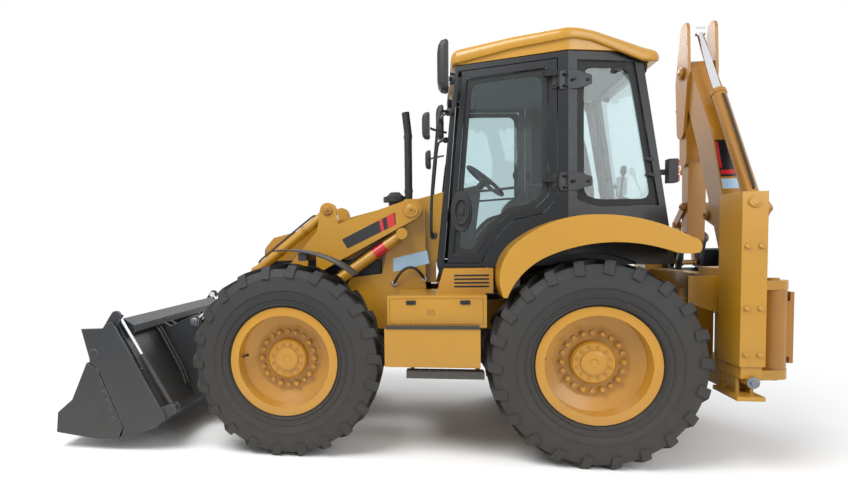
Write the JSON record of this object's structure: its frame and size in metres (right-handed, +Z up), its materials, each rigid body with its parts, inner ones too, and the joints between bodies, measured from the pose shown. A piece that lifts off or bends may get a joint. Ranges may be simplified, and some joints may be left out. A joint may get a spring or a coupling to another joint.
{
  "type": "backhoe loader",
  "caption": "Four-wheel backhoe loader with glazed cab, front clamshell loader bucket, side-shift backhoe folded across the rear and drop-down stabiliser legs.",
  "frame": {"origin": "on the ground under the middle of the overall length and width, wheels standing on z = 0", "axes": "+X towards the loader bucket, +Y to the machine's left, +Z up"},
  "size_m": [5.6, 2.36, 3.51],
  "materials": {
    "tyre": "matte rubber",
    "yellow_paint": "gloss",
    "dark_paint": "satin",
    "bucket_paint": "satin",
    "cast_iron": "rough",
    "chromed_steel": "polished",
    "cab_glass": "clear",
    "seat_cloth": "woven",
    "black_plastic": "matte",
    "exhaust_steel": "blackened"
  },
  "bodies": {
    "machine": {"chassis": "yellow_paint", "front_axle": "yellow_paint", "rear_axle": "yellow_paint", "engine_block": "cast_iron", "gearbox": "dark_paint", "cab_frame": "dark_paint", "cab_glass": "cab_glass", "cab_roof": "yellow_paint", "seat": "seat_cloth", "seat_base": "black_plastic", "dash": "black_plastic", "rear_fenders": "yellow_paint", "side_boxes": "yellow_paint", "cowl": "yellow_paint", "exhaust_stack": "exhaust_steel", "air_precleaner": "black_plastic", "nose_grille": "dark_paint", "hoe_frame": "yellow_paint", "mirrors": "black_plastic"},
    "bonnet": {"bonnet": "yellow_paint"},
    "door_left": {"door_left": "dark_paint", "door_glass_left": "cab_glass"},
    "door_right": {"door_right": "dark_paint", "door_glass_right": "cab_glass"},
    "knuckle_left": {"knuckle_left": "dark_paint"},
    "knuckle_right": {"knuckle_right": "dark_paint"},
    "wheel_front_left": {"tyre_front_left": "tyre", "rim_front_left": "yellow_paint"},
    "wheel_front_right": {"tyre_front_right": "tyre", "rim_front_right": "yellow_paint"},
    "wheel_rear_left": {"tyre_rear_left": "tyre", "rim_rear_left": "yellow_paint"},
    "wheel_rear_right": {"tyre_rear_right": "tyre", "rim_rear_right": "yellow_paint"},
    "loader_arms": {"loader_arms": "yellow_paint"},
    "lift_barrels": {"lift_barrels": "yellow_paint"},
    "lift_rods": {"lift_rods": "chromed_steel"},
    "tilt_barrels": {"tilt_barrels": "yellow_paint"},
    "tilt_rods": {"tilt_rods": "chromed_steel"},
    "loader_bucket": {"loader_bucket": "bucket_paint"},
    "bucket_clam": {"bucket_clam": "bucket_paint"},
    "clam_barrels": {"clam_barrels": "bucket_paint"},
    "clam_rods": {"clam_rods": "chromed_steel"},
    "stabiliser_left": {"stabiliser_left": "yellow_paint"},
    "stabiliser_right": {"stabiliser_right": "yellow_paint"},
    "carriage": {"carriage": "yellow_paint"},
    "kingpost": {"kingpost": "yellow_paint"},
    "boom": {"boom": "yellow_paint"},
    "boom_cylinder_barrel": {"boom_cylinder_barrel": "yellow_paint"},
    "boom_cylinder_rod": {"boom_cylinder_rod": "chromed_steel"},
    "dipper": {"dipper": "yellow_paint"},
    "dipper_cylinder_barrel": {"dipper_cylinder_barrel": "yellow_paint"},
    "dipper_cylinder_rod": {"dipper_cylinder_rod": "chromed_steel"},
    "hoe_bucket": {"hoe_bucket": "bucket_paint"},
    "bucket_rocker": {"bucket_rocker": "yellow_paint"},
    "bucket_link": {"bucket_link": "yellow_paint"},
    "hoe_bucket_cylinder_barrel": {"hoe_bucket_cylinder_barrel": "yellow_paint"},
    "hoe_bucket_cylinder_rod": {"hoe_bucket_cylinder_rod": "chromed_steel"}
  },
  "joints": [
    {"name": "steer_left", "type": "hinge", "parent": "machine", "child": "knuckle_left", "pos_m": [0.94, 0.73, 0.715], "axis": [0, 0, 1], "range_deg": [-24, 24]},
    {"name": "steer_right", "type": "hinge", "parent": "machine", "child": "knuckle_right", "pos_m": [0.94, -0.73, 0.715], "axis": [0, 0, 1], "range_deg": [-24.5, 24.5]},
    {"name": "wheel_front_left_spin", "type": "hinge", "parent": "knuckle_left", "child": "wheel_front_left", "pos_m": [0.94, 0.955, 0.715], "axis": [0, 1, 0], "continuous": true},
    {"name": "wheel_front_right_spin", "type": "hinge", "parent": "knuckle_right", "child": "wheel_front_right", "pos_m": [0.94, -0.955, 0.715], "axis": [0, 1, 0], "continuous": true},
    {"name": "wheel_rear_left_spin", "type": "hinge", "parent": "machine", "child": "wheel_rear_left", "pos_m": [-1.23, 0.955, 0.715], "axis": [0, 1, 0], "continuous": true},
    {"name": "wheel_rear_right_spin", "type": "hinge", "parent": "machine", "child": "wheel_rear_right", "pos_m": [-1.23, -0.955, 0.715], "axis": [0, 1, 0], "continuous": true},
    {"name": "door_left_hinge", "type": "hinge", "parent": "machine", "child": "door_left", "pos_m": [-1.022, 0.885, 2.1], "axis": [0, 0, 1], "range_deg": [0, 85]},
    {"name": "door_right_hinge", "type": "hinge", "parent": "machine", "child": "door_right", "pos_m": [-1.022, -0.885, 2.1], "axis": [0, 0, -1], "range_deg": [0, 85]},
    {"name": "bonnet_hinge", "type": "hinge", "parent": "machine", "child": "bonnet", "pos_m": [0.287, 0, 1.852], "axis": [0, -1, 0], "range_deg": [0, 50]},
    {"name": "lift", "type": "hinge", "parent": "machine", "child": "loader_arms", "pos_m": [0.021, 0, 1.838], "axis": [0, -1, 0], "range_deg": [0, 80]},
    {"name": "lift_barrel_turn", "type": "hinge", "parent": "machine", "child": "lift_barrels", "pos_m": [0.096, 0, 1.646], "axis": [0, -1, 0], "range_deg": [0, 85]},
    {"name": "lift_rod_slide", "type": "slide", "parent": "lift_barrels", "child": "lift_rods", "axis": [0.8192, 0, -0.5736], "range_m": [0, 0.26]},
    {"name": "bucket_tilt", "type": "hinge", "parent": "loader_arms", "child": "loader_bucket", "pos_m": [1.77, 0, 0.42], "axis": [0, 1, 0], "range_deg": [-35, 100]},
    {"name": "tilt_barrel_turn", "type": "hinge", "parent": "loader_arms", "child": "tilt_barrels", "pos_m": [0.7, 0, 1.85], "axis": [0, -1, 0], "range_deg": [-3, 1.5]},
    {"name": "tilt_rod_slide", "type": "slide", "parent": "tilt_barrels", "child": "tilt_rods", "axis": [0.7886, 0, -0.6149], "range_m": [-0.26, 0.72]},
    {"name": "clam_open", "type": "hinge", "parent": "loader_bucket", "child": "bucket_clam", "pos_m": [2.45, 0, 0.76], "axis": [0, -1, 0], "range_deg": [0, 50]},
    {"name": "clam_barrel_turn", "type": "hinge", "parent": "loader_bucket", "child": "clam_barrels", "pos_m": [1.836, 0, 0.33], "axis": [0, -1, 0], "range_deg": [0, 4]},
    {"name": "clam_rod_slide", "type": "slide", "parent": "clam_barrels", "child": "clam_rods", "axis": [0.5162, 0, 0.8564], "range_m": [-0.3, 0]},
    {"name": "stabiliser_left_drop", "type": "slide", "parent": "machine", "child": "stabiliser_left", "axis": [0, 0, -1], "range_m": [0, 0.6]},
    {"name": "stabiliser_right_drop", "type": "slide", "parent": "machine", "child": "stabiliser_right", "axis": [0, 0, -1], "range_m": [0, 0.6]},
    {"name": "carriage_slide", "type": "slide", "parent": "machine", "child": "carriage", "axis": [0, -1, 0], "range_m": [0, 1.12]},
    {"name": "slew", "type": "hinge", "parent": "carriage", "child": "kingpost", "pos_m": [-2.53, 0.56, 0.9], "axis": [0, 0, -1], "range_deg": [0, 180]},
    {"name": "boom_lower", "type": "hinge", "parent": "kingpost", "child": "boom", "pos_m": [-2.53, 0.29, 0.92], "axis": [1, 0, 0], "range_deg": [0, 100]},
    {"name": "boom_barrel_turn", "type": "hinge", "parent": "kingpost", "child": "boom_cylinder_barrel", "pos_m": [-2.53, 0.16, 0.65], "axis": [1, 0, 0], "range_deg": [0, 107]},
    {"name": "boom_rod_slide", "type": "slide", "parent": "boom_cylinder_barrel", "child": "boom_cylinder_rod", "axis": [0, -0.4172, 0.9088], "range_m": [-0.45, 0]},
    {"name": "dipper_open", "type": "hinge", "parent": "boom", "child": "dipper", "pos_m": [-2.53, -0.84, 3.06], "axis": [-1, 0, 0], "range_deg": [0, 100]},
    {"name": "dipper_barrel_turn", "type": "hinge", "parent": "boom", "child": "dipper_cylinder_barrel", "pos_m": [-2.53, 0.29, 1.77], "axis": [-1, 0, 0], "range_deg": [0, 5]},
    {"name": "dipper_rod_slide", "type": "slide", "parent": "dipper_cylinder_barrel", "child": "dipper_cylinder_rod", "axis": [0, -0.5587, 0.8293], "range_m": [-0.56, 0]},
    {"name": "hoe_bucket_open", "type": "hinge", "parent": "dipper", "child": "hoe_bucket", "pos_m": [-2.53, -0.89, 1.56], "axis": [-1, 0, 0], "range_deg": [0, 108]},
    {"name": "bucket_rocker_turn", "type": "hinge", "parent": "dipper", "child": "bucket_rocker", "pos_m": [-2.53, -0.88, 1.85], "axis": [-1, 0, 0], "range_deg": [0, 98]},
    {"name": "bucket_link_turn", "type": "hinge", "parent": "hoe_bucket", "child": "bucket_link", "pos_m": [-2.53, -1, 1.33], "axis": [-1, 0, 0], "range_deg": [-84, 0]},
    {"name": "bucket_barrel_turn", "type": "hinge", "parent": "dipper", "child": "hoe_bucket_cylinder_barrel", "pos_m": [-2.53, -1.03, 2.76], "axis": [-1, 0, 0], "range_deg": [-5, 0]},
    {"name": "bucket_rod_slide", "type": "slide", "parent": "hoe_bucket_cylinder_barrel", "child": "hoe_bucket_cylinder_rod", "axis": [0, -0.0653, -0.9979], "range_m": [-0.39, 0]}
  ],
  "couplings": [
    {"joint": "steer_right", "follows": "steer_left", "ratio": 1},
    {"joint": "lift_barrel_turn", "follows": "lift", "ratio": 1.0557},
    {"joint": "lift_rod_slide", "follows": "lift", "m_per_rad": 0.1758},
    {"joint": "tilt_barrel_turn", "follows": "bucket_tilt", "ratio": -0.0245},
    {"joint": "tilt_rod_slide", "follows": "bucket_tilt", "m_per_rad": 0.4074},
    {"joint": "clam_barrel_turn", "follows": "clam_open", "ratio": 0.0617},
    {"joint": "clam_rod_slide", "follows": "clam_open", "m_per_rad": -0.3289},
    {"joint": "boom_barrel_turn", "follows": "boom_lower", "ratio": 1.062},
    {"joint": "boom_rod_slide", "follows": "boom_lower", "m_per_rad": -0.2561},
    {"joint": "dipper_barrel_turn", "follows": "dipper_open", "ratio": 0.0466},
    {"joint": "dipper_rod_slide", "follows": "dipper_open", "m_per_rad": -0.3144},
    {"joint": "bucket_rocker_turn", "follows": "hoe_bucket_open", "ratio": 0.9},
    {"joint": "bucket_link_turn", "follows": "hoe_bucket_open", "ratio": -0.77},
    {"joint": "bucket_barrel_turn", "follows": "hoe_bucket_open", "ratio": -0.0395},
    {"joint": "bucket_rod_slide", "follows": "hoe_bucket_open", "m_per_rad": -0.198}
  ]
}
